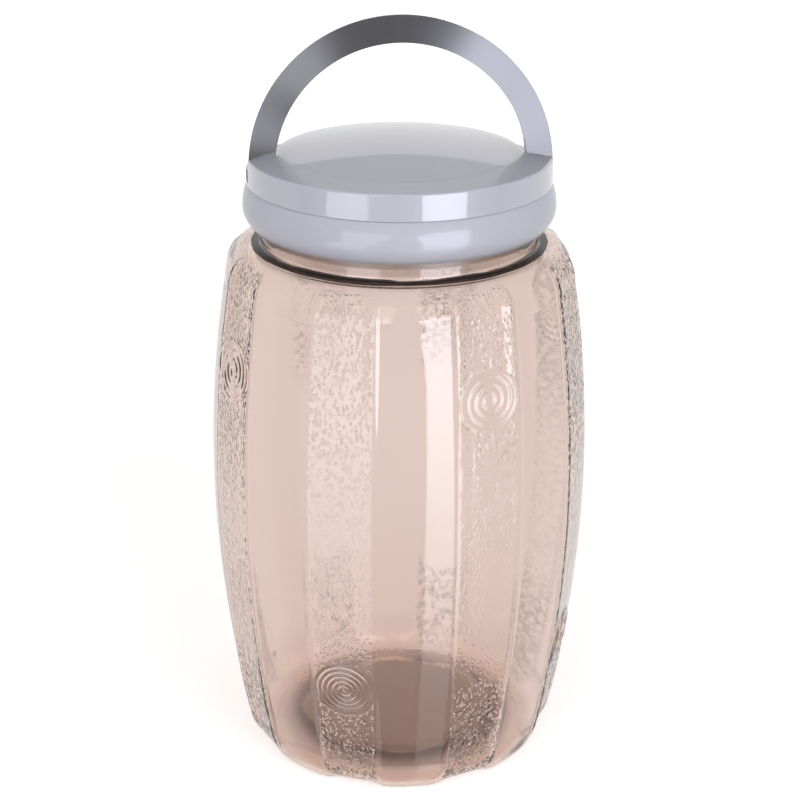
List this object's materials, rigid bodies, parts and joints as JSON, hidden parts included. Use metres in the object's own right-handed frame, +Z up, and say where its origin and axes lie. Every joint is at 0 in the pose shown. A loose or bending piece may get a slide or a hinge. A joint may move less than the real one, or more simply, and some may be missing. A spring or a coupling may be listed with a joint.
{
  "type": "plastic storage jar",
  "caption": "Barrel-shaped clear tinted plastic storage jar with raised and smooth panels, a screw lid with a domed top, and a half-ring carry handle that folds back into the lid",
  "frame": {"origin": "on the jar's vertical axis, in the plane of the flat foot ring that the jar stands on", "axes": "+Z is up along the jar's axis, -Y is the front that the picture shows, and the handle's pivot axis runs along X"},
  "size_m": [0.1584, 0.1584, 0.3198],
  "materials": {
    "jar_plastic": "clear smoky rose-brown PET, glossy, with fine moulded texture on the raised panels",
    "lid_plastic": "smooth glossy pale lavender-grey moulded plastic",
    "handle_plastic": "dark smoky grey pearl plastic with a satin sheen",
    "liner_foam": "off-white closed-cell foam sheet"
  },
  "bodies": {
    "jar": {"jar_body": "jar_plastic"},
    "seal": {"sealing_liner": "liner_foam"},
    "lid": {"screw_cap": "lid_plastic", "handle_collar": "lid_plastic", "dome_cover": "lid_plastic"},
    "handle": {"carry_handle": "handle_plastic"}
  },
  "joints": [
    {"name": "lid_rise", "type": "slide", "parent": "jar", "child": "seal", "axis": [0, 0, 1], "range_m": [0, 0.0057]},
    {"name": "lid_turn", "type": "hinge", "parent": "seal", "child": "lid", "pos_m": [0, 0, 0.2508], "axis": [0, 0, 1], "range_deg": [0, 450]},
    {"name": "handle_swing", "type": "hinge", "parent": "lid", "child": "handle", "pos_m": [0, -0.0035, 0.255], "axis": [-1, 0, 0], "range_deg": [0, 90]}
  ],
  "couplings": [
    {"joint": "lid_rise", "follows": "lid_turn", "m_per_rad": 0.0007162}
  ]
}
